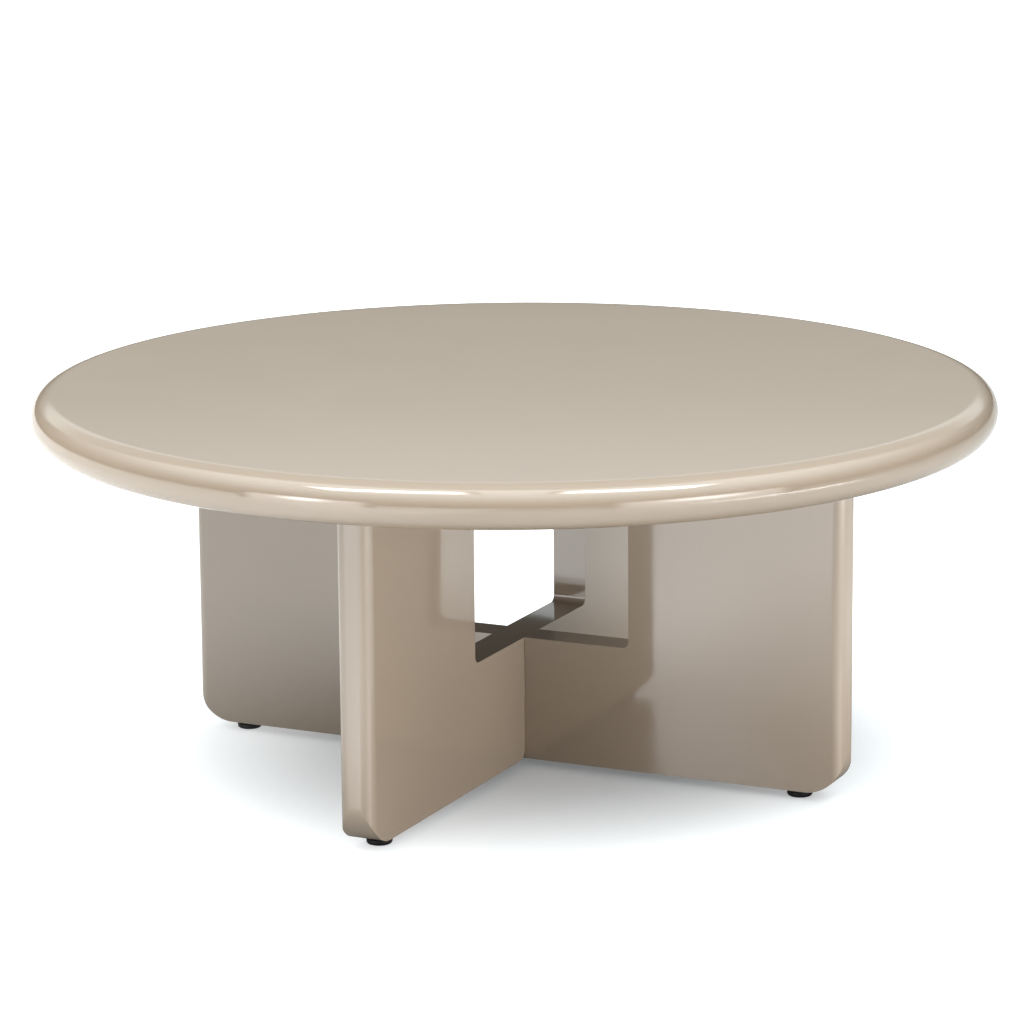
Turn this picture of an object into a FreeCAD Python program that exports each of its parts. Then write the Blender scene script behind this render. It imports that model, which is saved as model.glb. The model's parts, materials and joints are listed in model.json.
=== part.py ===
# Round cocktail table: a bullnosed round top on two slab panels that halve together, on levelling feet.
# The origin is on the floor, on the table's axis. X runs along the left-to-right panel, Z is up.
import FreeCAD, Part
import os

import Sketcher
from FreeCAD import Placement, Rotation, Vector

# Driving sizes in millimetres, and shares of the sizes that they follow
SIZES = {
    # tabletop
    "table_height": 433.5,
    "top_diameter": 1067,
    "top_thickness": 48,
    # base panels
    "panel_length": 798,
    "panel_thickness": 40,
    "end_roundover": 14,
    "roundover_limit_share": 0.48,
    "foot_corner_radius": 44,
    "notch_width": 293,
    "notch_corner_radius": 8,
    "crossing_height": 140,
    "lap_share": 0.5,
    "lap_clearance": 0.6,
    "slot_mouth_radius": 12,
    # angle brackets between top and base
    "bracket_leg": 50,
    "bracket_width": 30,
    "bracket_gauge": 3,
    "bracket_bend_radius": 3,
    "bracket_corner_radius": 5,
    "bolt_hole_diameter": 7,
    "screw_hole_diameter": 5,
    "bolt_place_share": 0.56,
    "upper_screw_share": 0.44,
    "lower_screw_share": 0.8,
    # wood screws, bolts, washers and threaded inserts of the brackets
    "screw_core_diameter": 3.4,
    "screw_length": 30,
    "screw_head_diameter": 9,
    "screw_head_height": 3,
    "screw_dome_share": 0.7,
    "bolt_diameter": 6,
    "bolt_head_flats": 10,
    "bolt_head_height": 4,
    "bolt_engagement_share": 0.8,
    "washer_diameter": 12,
    "washer_thickness": 1.6,
    "top_insert_diameter": 10,
    "top_insert_length": 14,
    # dowels that locate the top on the legs
    "dowel_diameter": 10,
    "dowel_length": 40,
    "dowel_end_distance": 90,
    "dowel_chamfer": 1,
    # levellers
    "foot_end_distance": 56.3,
    "pad_diameter": 28,
    "pad_edge_radius": 3,
    "pad_rim_radius": 1,
    "sole_thickness": 1.6,
    "lip_thickness": 2.2,
    "stem_diameter": 8,
    "stem_length": 30,
    "stem_tip_chamfer": 1,
    "stem_flange_diameter": 16,
    "stem_flange_thickness": 2,
    "collar_flats": 13,
    "collar_height": 2.9,
    "leveller_insert_diameter": 12,
    "leveller_insert_length": 16,
    "insert_flange_diameter": 18,
    "insert_flange_thickness": 1.5,
    # clearances
    "fit_clearance": 0.05,
    "running_clearance": 0.1,
    "seat_gap": 0.3,
    "drill_clearance": 2,
    "overrun": 1,
}

# Levels, reaches from the table's axis and radii that follow from the driving sizes
PLACES = {
    "pad_height": "Sizes.sole_thickness + Sizes.stem_flange_thickness + 2 * Sizes.running_clearance"
    " + Sizes.lip_thickness",
    "panel_bottom": "Places.pad_height + Sizes.collar_height + 2 * Sizes.seat_gap",
    "underside": "Sizes.table_height - Sizes.top_thickness",
    "panel_height": "Places.underside - Places.panel_bottom",
    "panel_half": "Sizes.panel_length / 2",
    "panel_face": "Sizes.panel_thickness / 2",
    "end_round": "min(Sizes.end_roundover; Sizes.panel_thickness * Sizes.roundover_limit_share)",
    "notch_half": "Sizes.notch_width / 2",
    "notch_floor": "Places.panel_bottom + Sizes.crossing_height",
    "lap_level": "Places.panel_bottom + Sizes.crossing_height * Sizes.lap_share",
    "slot_half": "Places.panel_face + Sizes.lap_clearance",
    "bracket_face": "Places.notch_half - Sizes.bracket_gauge",
    "bolt_reach": "Places.notch_half - Sizes.bracket_leg * Sizes.bolt_place_share",
    "bolt_seat": "Places.underside - Sizes.bracket_gauge - Sizes.washer_thickness",
    "bolt_length": "Sizes.washer_thickness + Sizes.bracket_gauge"
    " + Sizes.top_insert_length * Sizes.bolt_engagement_share",
    "bolt_bore": "Sizes.bolt_diameter / 2 + Sizes.fit_clearance",
    "upper_screw": "Places.underside - Sizes.bracket_leg * Sizes.upper_screw_share",
    "lower_screw": "Places.underside - Sizes.bracket_leg * Sizes.lower_screw_share",
    "pilot_depth": "Sizes.screw_length - Sizes.bracket_gauge + Sizes.drill_clearance",
    "dowel_reach": "Places.panel_half - Sizes.dowel_end_distance",
    "dowel_hole_depth": "Sizes.dowel_length / 2 + Sizes.drill_clearance",
    "foot_reach": "Places.panel_half - Sizes.foot_end_distance",
    "stem_radius": "Sizes.stem_diameter / 2",
    "flange_seat": "Sizes.sole_thickness + Sizes.running_clearance",
    "flange_top": "Places.flange_seat + Sizes.stem_flange_thickness",
    "socket_top": "Places.flange_top + Sizes.running_clearance",
    "socket_radius": "Sizes.stem_flange_diameter / 2 + Sizes.running_clearance",
    "neck_radius": "Places.stem_radius + Sizes.running_clearance",
    "collar_seat": "Places.pad_height + Sizes.seat_gap",
    "stem_tip": "Places.panel_bottom + Sizes.stem_length",
    "tip_hole_depth": "Sizes.stem_length + Sizes.drill_clearance",
    "tip_hole_radius": "Places.stem_radius + Sizes.seat_gap",
    "stem_bore": "Places.stem_radius + Sizes.fit_clearance",
}

# Legs and the angle of each round the table's axis; the front of the table faces minus Y
LEGS = {"right": 0, "back": 90, "left": 180, "front": 270}
LEG_COUNT = len(LEGS)
FULL_TURN = 360
TOUCH = 1e-4
# Length that a sketch is first drawn at, before its formulas size it
FIRST_GUESS = 1

doc = FreeCAD.newDocument("round_cocktail_table")
sizes = doc.addObject("Spreadsheet::Sheet", "Sizes")
for row, (alias, number) in enumerate(SIZES.items(), start=1):
    sizes.set(f"A{row}", alias)
    sizes.set(f"B{row}", str(number))
    sizes.setAlias(f"B{row}", alias)
doc.recompute()

places = doc.addObject("App::VarSet", "Places")
for alias in PLACES:
    places.addProperty("App::PropertyFloat", alias)
for alias, formula in PLACES.items():
    places.setExpression(alias, formula)
doc.recompute()

sub_parts = []


def new_body(name):
    body = doc.addObject("PartDesign::Body", name)
    body.Label = name
    return body


def origin_feature(body, role):
    return next(item for item in body.Origin.OriginFeatures if item.Role == role)


def new_sketch(body, name, plane, lift="0"):
    # A sketch on one of the body's own planes, lifted along that plane's normal
    sketch = body.newObject("Sketcher::SketchObject", name)
    sketch.AttachmentSupport = [(origin_feature(body, plane), "")]
    sketch.MapMode = "FlatFace"
    sketch.setExpression("AttachmentOffset.Base.z", lift)
    return sketch


def bind(sketch, kind, references, formula, first_guess):
    index = sketch.addConstraint(Sketcher.Constraint(kind, *references, first_guess))
    sketch.setExpression(f"Constraints[{index}]", formula)


def fix_point(sketch, geometry, point, across, along, first_guess):
    # Holds one point at its two coordinates; a coordinate of "0" lies on the axis
    for kind, formula, axis, guess in (
        ("DistanceX", across, -2, first_guess.x),
        ("DistanceY", along, -1, first_guess.y),
    ):
        if formula == "0":
            sketch.addConstraint(Sketcher.Constraint("PointOnObject", geometry, point, axis))
        else:
            bind(sketch, kind, (-1, 1, geometry, point), formula, guess)


def draw_outline(sketch, corners):
    # A closed outline of straight lines through corners given as pairs of formulas
    guesses = [
        Vector(step * FIRST_GUESS, step**2 * FIRST_GUESS, 0) for step in range(1, len(corners) + 1)
    ]
    lines = [
        sketch.addGeometry(Part.LineSegment(start, end))
        for start, end in zip(guesses, guesses[1:] + guesses[:1])
    ]
    for line, following in zip(lines, lines[1:] + lines[:1]):
        sketch.addConstraint(Sketcher.Constraint("Coincident", line, 2, following, 1))
    for line, (across, along), guess in zip(lines, corners, guesses):
        fix_point(sketch, line, 1, across, along, guess)


def draw_rectangle(sketch, left, right, low, high):
    draw_outline(sketch, [(left, low), (right, low), (right, high), (left, high)])


def draw_circle(sketch, across, along, radius):
    guess = Vector(FIRST_GUESS, FIRST_GUESS, 0)
    circle = sketch.addGeometry(Part.Circle(guess, Vector(0, 0, 1), FIRST_GUESS))
    bind(sketch, "Radius", (circle,), radius, FIRST_GUESS)
    fix_point(sketch, circle, 3, across, along, guess)


def draw_hexagon(sketch, across, flats):
    # A hexagon with two corners on the line of its centre; flats is the size across its flats
    reach = f"{flats} / sqrt(3)"
    corners = [(reach, "0"), (f"{reach} / 2", f"{flats} / 2"), (f"-{reach} / 2", f"{flats} / 2")]
    corners += [(f"-{reach}", "0"), (f"-{reach} / 2", f"-{flats} / 2"), (f"{reach} / 2", f"-{flats} / 2")]
    draw_outline(sketch, [(f"{across} + ({out})", along) for out, along in corners])


def pad(body, sketch, length, symmetric=False, backwards=False):
    feature = body.newObject("PartDesign::Pad", f"{sketch.Name}_pad")
    feature.Profile = sketch
    feature.setExpression("Length", length)
    feature.SideType = "Symmetric" if symmetric else "One side"
    feature.Reversed = backwards
    doc.recompute()
    return feature


def pocket(body, sketch, depth, symmetric=False, along_normal=False):
    # Cuts against the sketch's normal, or along it; a cut that removes nothing is an error
    before = body.Shape.Volume
    feature = body.newObject("PartDesign::Pocket", f"{sketch.Name}_pocket")
    feature.Profile = sketch
    feature.setExpression("Length", depth)
    feature.SideType = "Symmetric" if symmetric else "One side"
    feature.Reversed = along_normal
    doc.recompute()
    if not body.Shape.Volume < before:
        raise RuntimeError(f"{sketch.Name} cuts nothing")
    return feature


def revolve(body, sketch):
    feature = body.newObject("PartDesign::Revolution", f"{sketch.Name}_turned")
    feature.Profile = sketch
    feature.ReferenceAxis = (sketch, ["V_Axis"])
    feature.Angle = FULL_TURN
    doc.recompute()
    return feature


def edges_at(feature, **levels):
    # Names of the edges that lie wholly at the given levels, on either side of the origin
    names = []
    for index, edge in enumerate(feature.Shape.Edges, start=1):
        box = edge.BoundBox
        spans = {"x": (box.XMin, box.XMax), "y": (box.YMin, box.YMax), "z": (box.ZMin, box.ZMax)}
        if all(
            spans[axis][1] - spans[axis][0] < TOUCH and abs(abs(spans[axis][0]) - level) < TOUCH
            for axis, level in levels.items()
        ):
            names.append(f"Edge{index}")
    if not names:
        raise RuntimeError(f"{feature.Name} has no edge at {levels}")
    return names


def fillet(body, name, edges, radius):
    base = body.Tip
    feature = body.newObject("PartDesign::Fillet", name)
    feature.Base = (base, edges)
    feature.setExpression("Radius", radius)
    doc.recompute()
    return feature


def chamfer(body, name, edges, width):
    base = body.Tip
    feature = body.newObject("PartDesign::Chamfer", name)
    feature.Base = (base, edges)
    feature.setExpression("Size", width)
    doc.recompute()
    return feature


def repeat_round_axis(body, originals=()):
    # One copy of the given features, or of all that the body holds, for each leg round the table's axis
    feature = body.newObject("PartDesign::PolarPattern", f"{body.Name}_round")
    feature.TransformMode = "Features" if originals else "Whole shape"
    feature.Originals = list(originals)
    feature.Axis = (origin_feature(body, "Z_Axis"), [""])
    feature.Angle = FULL_TURN
    feature.Occurrences = LEG_COUNT
    body.Tip = feature
    doc.recompute()


def stand_at_leg(body, angle):
    # Turns a body that was drawn for the right leg to the leg at this angle
    body.Placement = Placement(Vector(), Rotation(Vector(0, 0, 1), angle))
    sub_parts.append(body)


# Tabletop: a revolved section whose outer edge is a full half-round


def make_tabletop():
    body = new_body("tabletop")
    section = new_sketch(body, "tabletop_section", "XZ_Plane")
    nose = sizes.top_thickness / 2
    flat = sizes.top_diameter / 2 - nose
    low = places.underside
    high = sizes.table_height
    top_line = section.addGeometry(Part.LineSegment(Vector(0, high, 0), Vector(flat, high, 0)))
    nose_arc = section.addGeometry(
        Part.Arc(Vector(flat, high, 0), Vector(flat + nose, high - nose, 0), Vector(flat, low, 0))
    )
    bottom_line = section.addGeometry(Part.LineSegment(Vector(flat, low, 0), Vector(0, low, 0)))
    axis_line = section.addGeometry(Part.LineSegment(Vector(0, low, 0), Vector(0, high, 0)))
    low_end, high_end = (1, 2) if section.getPoint(nose_arc, 1).y < high - nose else (2, 1)
    for joint in (
        ("Tangent", bottom_line, 1, nose_arc, low_end),
        ("Tangent", top_line, 2, nose_arc, high_end),
        ("Coincident", bottom_line, 2, axis_line, 1),
        ("Coincident", axis_line, 2, top_line, 1),
        ("Horizontal", top_line),
        ("Horizontal", bottom_line),
    ):
        section.addConstraint(Sketcher.Constraint(*joint))
    fix_point(section, axis_line, 1, "0", "Places.underside", Vector(0, low, 0))
    bind(section, "DistanceY", (-1, 1, axis_line, 2), "Sizes.table_height", high)
    bind(
        section, "DistanceX", (-1, 1, top_line, 2), "(Sizes.top_diameter - Sizes.top_thickness) / 2", flat
    )
    section.addConstraint(Sketcher.Constraint("PointOnObject", axis_line, 2, -2))
    revolve(body, section)

    insert_hole = new_sketch(body, "insert_hole", "XY_Plane", "Places.underside")
    draw_circle(
        insert_hole, "Places.bolt_reach", "0", "Sizes.top_insert_diameter / 2 + Sizes.fit_clearance"
    )
    insert_cut = pocket(
        body, insert_hole, "Sizes.top_insert_length + Sizes.drill_clearance", along_normal=True
    )
    dowel_hole = new_sketch(body, "dowel_hole", "XY_Plane", "Places.underside")
    draw_circle(dowel_hole, "Places.dowel_reach", "0", "Sizes.dowel_diameter / 2 + Sizes.fit_clearance")
    dowel_cut = pocket(body, dowel_hole, "Places.dowel_hole_depth", along_normal=True)
    repeat_round_axis(body, [insert_cut, dowel_cut])
    sub_parts.append(body)


# Base panels: the side outline, cut by the rounded plan, so that the end roundovers run straight down


def panel_side(name, slot_from_top):
    body = new_body(f"{name}_side")
    outline = new_sketch(body, f"{name}_outline", "XZ_Plane")
    draw_rectangle(
        outline, "-Places.panel_half", "Places.panel_half", "Places.panel_bottom", "Places.underside"
    )
    slab = pad(body, outline, "Sizes.panel_thickness", symmetric=True)
    foot_corners = edges_at(slab, x=places.panel_half, z=places.panel_bottom)
    fillet(body, f"{name}_foot_corners", foot_corners, "Sizes.foot_corner_radius")

    through = "Sizes.panel_thickness + 2 * Sizes.overrun"
    notch = new_sketch(body, f"{name}_notch", "XZ_Plane")
    draw_rectangle(
        notch,
        "-Places.notch_half",
        "Places.notch_half",
        "Places.notch_floor",
        "Places.underside + Sizes.overrun",
    )
    notched = pocket(body, notch, through, symmetric=True)
    notch_corners = edges_at(notched, x=places.notch_half, z=places.notch_floor)
    fillet(body, f"{name}_notch_corners", notch_corners, "Sizes.notch_corner_radius")

    slot = new_sketch(body, f"{name}_slot", "XZ_Plane")
    low, high = "Places.panel_bottom - Sizes.overrun", "Places.lap_level"
    if slot_from_top:
        low, high = "Places.lap_level", "Places.notch_floor + Sizes.overrun"
    draw_rectangle(slot, "-Places.slot_half", "Places.slot_half", low, high)
    slotted = pocket(body, slot, through, symmetric=True)
    if not slot_from_top:
        mouth = edges_at(slotted, x=places.slot_half, z=places.panel_bottom)
        fillet(body, f"{name}_slot_mouth", mouth, "Sizes.slot_mouth_radius")
    drill_panel(body, name)
    return body


def drill_panel(body, name):
    # Blind holes on both legs: dowels from above, leveller inserts and stems from below, bracket screws
    dowels = new_sketch(body, f"{name}_dowel_holes", "XY_Plane", "Places.underside")
    for sign in ("-", ""):
        draw_circle(
            dowels, f"{sign}Places.dowel_reach", "0", "Sizes.dowel_diameter / 2 + Sizes.fit_clearance"
        )
    pocket(body, dowels, "Places.dowel_hole_depth")
    for step, radius, depth in (
        ("tip", "Places.tip_hole_radius", "Places.tip_hole_depth"),
        (
            "sleeve",
            "Sizes.leveller_insert_diameter / 2 + Sizes.fit_clearance",
            "Sizes.leveller_insert_length",
        ),
        (
            "flange",
            "Sizes.insert_flange_diameter / 2 + Sizes.fit_clearance",
            "Sizes.insert_flange_thickness",
        ),
    ):
        bores = new_sketch(body, f"{name}_{step}_holes", "XY_Plane", "Places.panel_bottom")
        for sign in ("-", ""):
            draw_circle(bores, f"{sign}Places.foot_reach", "0", radius)
        pocket(body, bores, depth, along_normal=True)
    for side, sign, outward in (("right", "", True), ("left", "-", False)):
        pilots = new_sketch(body, f"{name}_{side}_pilots", "YZ_Plane", f"{sign}Places.notch_half")
        for level in ("Places.upper_screw", "Places.lower_screw"):
            draw_circle(pilots, "0", level, "Sizes.screw_core_diameter / 2 + Sizes.fit_clearance")
        pocket(body, pilots, "Places.pilot_depth", along_normal=outward)


def panel_plan(name):
    body = new_body(f"{name}_plan")
    outline = new_sketch(body, f"{name}_plan_outline", "XY_Plane", "Places.panel_bottom")
    draw_rectangle(
        outline, "-Places.panel_half", "Places.panel_half", "-Places.panel_face", "Places.panel_face"
    )
    block = pad(body, outline, "Places.panel_height")
    ends = edges_at(block, x=places.panel_half, y=places.panel_face)
    fillet(body, f"{name}_ends", ends, "Places.end_round")
    return body


def make_panel(name, slot_from_top, angle):
    turn = Placement(Vector(), Rotation(Vector(0, 0, 1), angle))
    side, plan = panel_side(name, slot_from_top), panel_plan(name)
    side.Placement = turn
    plan.Placement = turn
    panel = doc.addObject("Part::Common", name)
    panel.Label = name
    panel.Base = side
    panel.Tool = plan
    doc.recompute()
    sub_parts.append(panel)


# Angle bracket at each notch end, with one bolt hole in its upper leg and two screw holes in the other


def make_bracket(leg, angle):
    body = new_body(f"top_bracket_{leg}")
    angle_section = new_sketch(body, f"bracket_{leg}_section", "XZ_Plane")
    tip = "Places.notch_half - Sizes.bracket_leg"
    sole = "Places.underside - Sizes.bracket_gauge"
    foot = "Places.underside - Sizes.bracket_leg"
    draw_outline(
        angle_section,
        [
            ("Places.notch_half", "Places.underside"),
            (tip, "Places.underside"),
            (tip, sole),
            ("Places.bracket_face", sole),
            ("Places.bracket_face", foot),
            ("Places.notch_half", foot),
        ],
    )
    strip = pad(body, angle_section, "Sizes.bracket_width", symmetric=True)
    inside = edges_at(strip, x=places.bracket_face, z=places.underside - sizes.bracket_gauge)
    bent = fillet(body, f"bracket_{leg}_inner_bend", inside, "Sizes.bracket_bend_radius")
    outside = edges_at(bent, x=places.notch_half, z=places.underside)
    bent = fillet(
        body, f"bracket_{leg}_outer_bend", outside, "Sizes.bracket_bend_radius + Sizes.bracket_gauge"
    )
    half_width = sizes.bracket_width / 2
    corners = edges_at(bent, x=places.notch_half - sizes.bracket_leg, y=half_width)
    corners += edges_at(bent, z=places.underside - sizes.bracket_leg, y=half_width)
    fillet(body, f"bracket_{leg}_corners", corners, "Sizes.bracket_corner_radius")

    bolt_hole = new_sketch(body, f"bracket_{leg}_bolt_hole", "XY_Plane", "Places.underside")
    draw_circle(bolt_hole, "Places.bolt_reach", "0", "Sizes.bolt_hole_diameter / 2")
    pocket(body, bolt_hole, "Sizes.bracket_gauge + Sizes.overrun")
    screw_holes = new_sketch(body, f"bracket_{leg}_screw_holes", "YZ_Plane", "Places.notch_half")
    for level in ("Places.upper_screw", "Places.lower_screw"):
        draw_circle(screw_holes, "0", level, "Sizes.screw_hole_diameter / 2")
    pocket(body, screw_holes, "Sizes.bracket_gauge + Sizes.overrun")
    stand_at_leg(body, angle)


# Fasteners of the brackets, each kind one node with a separate solid for each place


def make_bracket_screws():
    body = new_body("bracket_screws")
    heads = new_sketch(body, "screw_heads", "YZ_Plane", "Places.bracket_face")
    shanks = new_sketch(body, "screw_shanks", "YZ_Plane", "Places.bracket_face")
    for level in ("Places.upper_screw", "Places.lower_screw"):
        draw_circle(heads, "0", level, "Sizes.screw_head_diameter / 2")
        draw_circle(shanks, "0", level, "Sizes.screw_core_diameter / 2")
    features = [
        pad(body, heads, "Sizes.screw_head_height", backwards=True),
        pad(body, shanks, "Sizes.screw_length"),
    ]
    rims = edges_at(features[-1], x=places.bracket_face - sizes.screw_head_height)
    fillet(body, "screw_domes", rims, "Sizes.screw_head_height * Sizes.screw_dome_share")
    repeat_round_axis(body)
    sub_parts.append(body)


def make_bracket_bolts():
    body = new_body("bracket_bolts")
    head = new_sketch(body, "bolt_head", "XY_Plane", "Places.bolt_seat")
    draw_hexagon(head, "Places.bolt_reach", "Sizes.bolt_head_flats")
    pad(body, head, "Sizes.bolt_head_height", backwards=True)
    shank = new_sketch(body, "bolt_shank", "XY_Plane", "Places.bolt_seat")
    draw_circle(shank, "Places.bolt_reach", "0", "Sizes.bolt_diameter / 2")
    pad(body, shank, "Places.bolt_length")
    repeat_round_axis(body)
    sub_parts.append(body)


def make_ring_set(name, level, outer_radius, bore, length):
    # A set of plain rings on the bolts' axes
    body = new_body(name)
    ring = new_sketch(body, f"{name}_ring", "XY_Plane", level)
    draw_circle(ring, "Places.bolt_reach", "0", outer_radius)
    draw_circle(ring, "Places.bolt_reach", "0", bore)
    pad(body, ring, length)
    repeat_round_axis(body)
    sub_parts.append(body)


def make_dowels():
    body = new_body("locating_dowels")
    round_stock = new_sketch(
        body, "dowel_round", "XY_Plane", "Places.underside - Sizes.dowel_length / 2"
    )
    draw_circle(round_stock, "Places.dowel_reach", "0", "Sizes.dowel_diameter / 2")
    stock = pad(body, round_stock, "Sizes.dowel_length")
    rims = edges_at(stock, z=places.underside - sizes.dowel_length / 2)
    rims += edges_at(stock, z=places.underside + sizes.dowel_length / 2)
    chamfer(body, "dowel_ends", rims, "Sizes.dowel_chamfer")
    repeat_round_axis(body)
    sub_parts.append(body)


# Leveller at each leg: a flanged insert in the panel, a threaded stem that turns in a black pad


def make_turned(name, leg, angle, corners):
    # A body turned from half a section, standing under the foot of one leg
    body = new_body(f"{name}_{leg}")
    section = new_sketch(body, f"{name}_{leg}_section", "XZ_Plane")
    draw_outline(section, corners)
    revolve(body, section)
    turn = Rotation(Vector(0, 0, 1), angle)
    body.Placement = Placement(turn.multVec(Vector(places.foot_reach, 0, 0)), turn)
    sub_parts.append(body)
    return body


def make_leveller_insert(leg, angle):
    flange_top = "Places.panel_bottom + Sizes.insert_flange_thickness"
    sleeve_top = "Places.panel_bottom + Sizes.leveller_insert_length"
    make_turned(
        "leveller_insert",
        leg,
        angle,
        [
            ("Places.stem_bore", "Places.panel_bottom"),
            ("Sizes.insert_flange_diameter / 2", "Places.panel_bottom"),
            ("Sizes.insert_flange_diameter / 2", flange_top),
            ("Sizes.leveller_insert_diameter / 2", flange_top),
            ("Sizes.leveller_insert_diameter / 2", sleeve_top),
            ("Places.stem_bore", sleeve_top),
        ],
    )


def make_leveller_stem(leg, angle):
    body = make_turned(
        "leveller_stem",
        leg,
        angle,
        [
            ("0", "Places.flange_seat"),
            ("Sizes.stem_flange_diameter / 2", "Places.flange_seat"),
            ("Sizes.stem_flange_diameter / 2", "Places.flange_top"),
            ("Places.stem_radius", "Places.flange_top"),
            ("Places.stem_radius", "Places.stem_tip"),
            ("0", "Places.stem_tip"),
        ],
    )
    tip_rim = edges_at(body.Tip, z=places.stem_tip)
    chamfer(body, f"stem_{leg}_tip", tip_rim, "Sizes.stem_tip_chamfer")
    collar = new_sketch(body, f"stem_{leg}_collar", "XY_Plane", "Places.collar_seat")
    draw_hexagon(collar, "0", "Sizes.collar_flats")
    pad(body, collar, "Sizes.collar_height")


def make_leveller_pad(leg, angle):
    body = make_turned(
        "leveller_pad",
        leg,
        angle,
        [
            ("0", "0"),
            ("Sizes.pad_diameter / 2", "0"),
            ("Sizes.pad_diameter / 2", "Places.pad_height"),
            ("Places.neck_radius", "Places.pad_height"),
            ("Places.neck_radius", "Places.socket_top"),
            ("Places.socket_radius", "Places.socket_top"),
            ("Places.socket_radius", "Sizes.sole_thickness"),
            ("0", "Sizes.sole_thickness"),
        ],
    )
    sole_rim = edges_at(body.Tip, z=0)
    fillet(body, f"pad_{leg}_sole_edge", sole_rim, "Sizes.pad_edge_radius")
    radius = sizes.pad_diameter / 2
    upper_rim = [
        name
        for name in edges_at(body.Tip, z=places.pad_height)
        if abs(body.Tip.Shape.getElement(name).BoundBox.XMax) > radius - TOUCH
    ]
    fillet(body, f"pad_{leg}_rim", upper_rim, "Sizes.pad_rim_radius")


make_tabletop()
make_panel("left_right_panel", slot_from_top=True, angle=LEGS["right"])
make_panel("front_back_panel", slot_from_top=False, angle=LEGS["back"])
make_bracket_screws()
make_bracket_bolts()
make_ring_set(
    "bracket_washers",
    "Places.bolt_seat",
    "Sizes.washer_diameter / 2",
    "Places.bolt_bore",
    "Sizes.washer_thickness",
)
make_ring_set(
    "top_inserts",
    "Places.underside",
    "Sizes.top_insert_diameter / 2",
    "Places.bolt_bore",
    "Sizes.top_insert_length",
)
make_dowels()
for leg_name, leg_angle in LEGS.items():
    make_bracket(leg_name, leg_angle)
    make_leveller_insert(leg_name, leg_angle)
    make_leveller_stem(leg_name, leg_angle)
    make_leveller_pad(leg_name, leg_angle)
doc.recompute()

# Every object is sound before anything is written
for item in doc.Objects:
    if {"Invalid", "Error"} & set(item.State):
        raise RuntimeError(f"{item.Label}: {item.State}")
for item in sub_parts:
    if item.Shape.isNull() or not item.Shape.isValid():
        raise RuntimeError(f"{item.Label}: its shape is not sound")

os.makedirs("parts", exist_ok=True)
for item in sub_parts:
    item.Shape.exportStep(f"parts/{item.Label}.step")
    print(f"{item.Label}: {len(item.Shape.Solids)} solids, {item.Shape.Volume:.0f} cubic mm")
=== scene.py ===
import json
import math

import bmesh
import bpy
import numpy as np
from mathutils import Matrix, Vector


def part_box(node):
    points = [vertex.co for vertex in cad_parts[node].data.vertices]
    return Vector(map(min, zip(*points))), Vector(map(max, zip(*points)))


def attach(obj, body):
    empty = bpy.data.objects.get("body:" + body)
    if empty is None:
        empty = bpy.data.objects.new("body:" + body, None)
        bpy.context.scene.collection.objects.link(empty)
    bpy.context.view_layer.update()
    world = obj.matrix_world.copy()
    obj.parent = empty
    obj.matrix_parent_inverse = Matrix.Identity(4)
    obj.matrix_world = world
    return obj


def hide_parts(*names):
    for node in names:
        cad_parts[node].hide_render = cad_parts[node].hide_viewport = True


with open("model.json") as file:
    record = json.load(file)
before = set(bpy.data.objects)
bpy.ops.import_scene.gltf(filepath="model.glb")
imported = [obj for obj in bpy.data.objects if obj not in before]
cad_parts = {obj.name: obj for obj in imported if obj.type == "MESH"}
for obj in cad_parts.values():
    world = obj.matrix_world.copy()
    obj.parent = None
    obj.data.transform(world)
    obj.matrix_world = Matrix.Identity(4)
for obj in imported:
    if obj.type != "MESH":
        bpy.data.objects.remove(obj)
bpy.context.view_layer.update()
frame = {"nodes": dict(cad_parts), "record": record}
scene = bpy.context.scene
scene.view_settings.view_transform = "Standard"
print("frame loaded:", len(frame["nodes"]), "nodes")

# places that several pieces share
legAngles = {"right": 0, "back": 90, "left": 180, "front": 270}
footInset = 0.0563  # from the end of a panel to the axis of its levelling foot
topLow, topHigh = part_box("tabletop")
panelLow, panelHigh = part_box("left_right_panel")
topUnderside = topLow.z
panelBottom = panelLow.z
footReach = panelHigh.x - footInset


# mesh helpers
def gridFaces(rows, columns, closed=False):
    # quads between neighbouring rows and columns; closed joins the last column to the first
    steps = np.arange(columns if closed else columns - 1)
    row, column = np.meshgrid(np.arange(rows - 1), steps, indexing="ij")
    following = (column + 1) % columns
    here, above = row * columns, (row + 1) * columns
    corners = [here + column, here + following, above + following, above + column]
    return np.stack(corners, -1).reshape(-1, 4).tolist()


def weld(patches):
    # one list of points and faces from patches (points, faces); points at the same micron become one
    points = np.concatenate([np.asarray(part, float).reshape(-1, 3) for part, _ in patches])
    starts = np.cumsum([0] + [np.asarray(part).size // 3 for part, _ in patches])
    kept, where = np.unique(np.round(points, 6), axis=0, return_inverse=True)
    where = where.reshape(-1)
    faces = []
    for start, (_, patchFaces) in zip(starts, patches):
        for face in patchFaces:
            loop = [int(where[start + corner]) for corner in face]
            loop = [corner for step, corner in enumerate(loop) if corner != loop[step - 1]]
            if len(loop) > 2:
                faces.append(loop)
    return kept, faces


def makePiece(name, patches, body, material, sharpAngle=35):
    # welds patches into a closed mesh with faces outwards, smooth apart from edges over sharpAngle
    points, faces = weld(patches)
    mesh = bpy.data.meshes.new(name)
    mesh.from_pydata(points, [], faces)
    shell = bmesh.new()
    shell.from_mesh(mesh)
    bmesh.ops.recalc_face_normals(shell, faces=shell.faces)
    shell.to_mesh(mesh)
    shell.free()
    mesh.shade_smooth()
    mesh.set_sharp_from_angle(angle=math.radians(sharpAngle))
    mesh.materials.append(material)
    piece = bpy.data.objects.new(name, mesh)
    scene.collection.objects.link(piece)
    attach(piece, body)
    return piece


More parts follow.
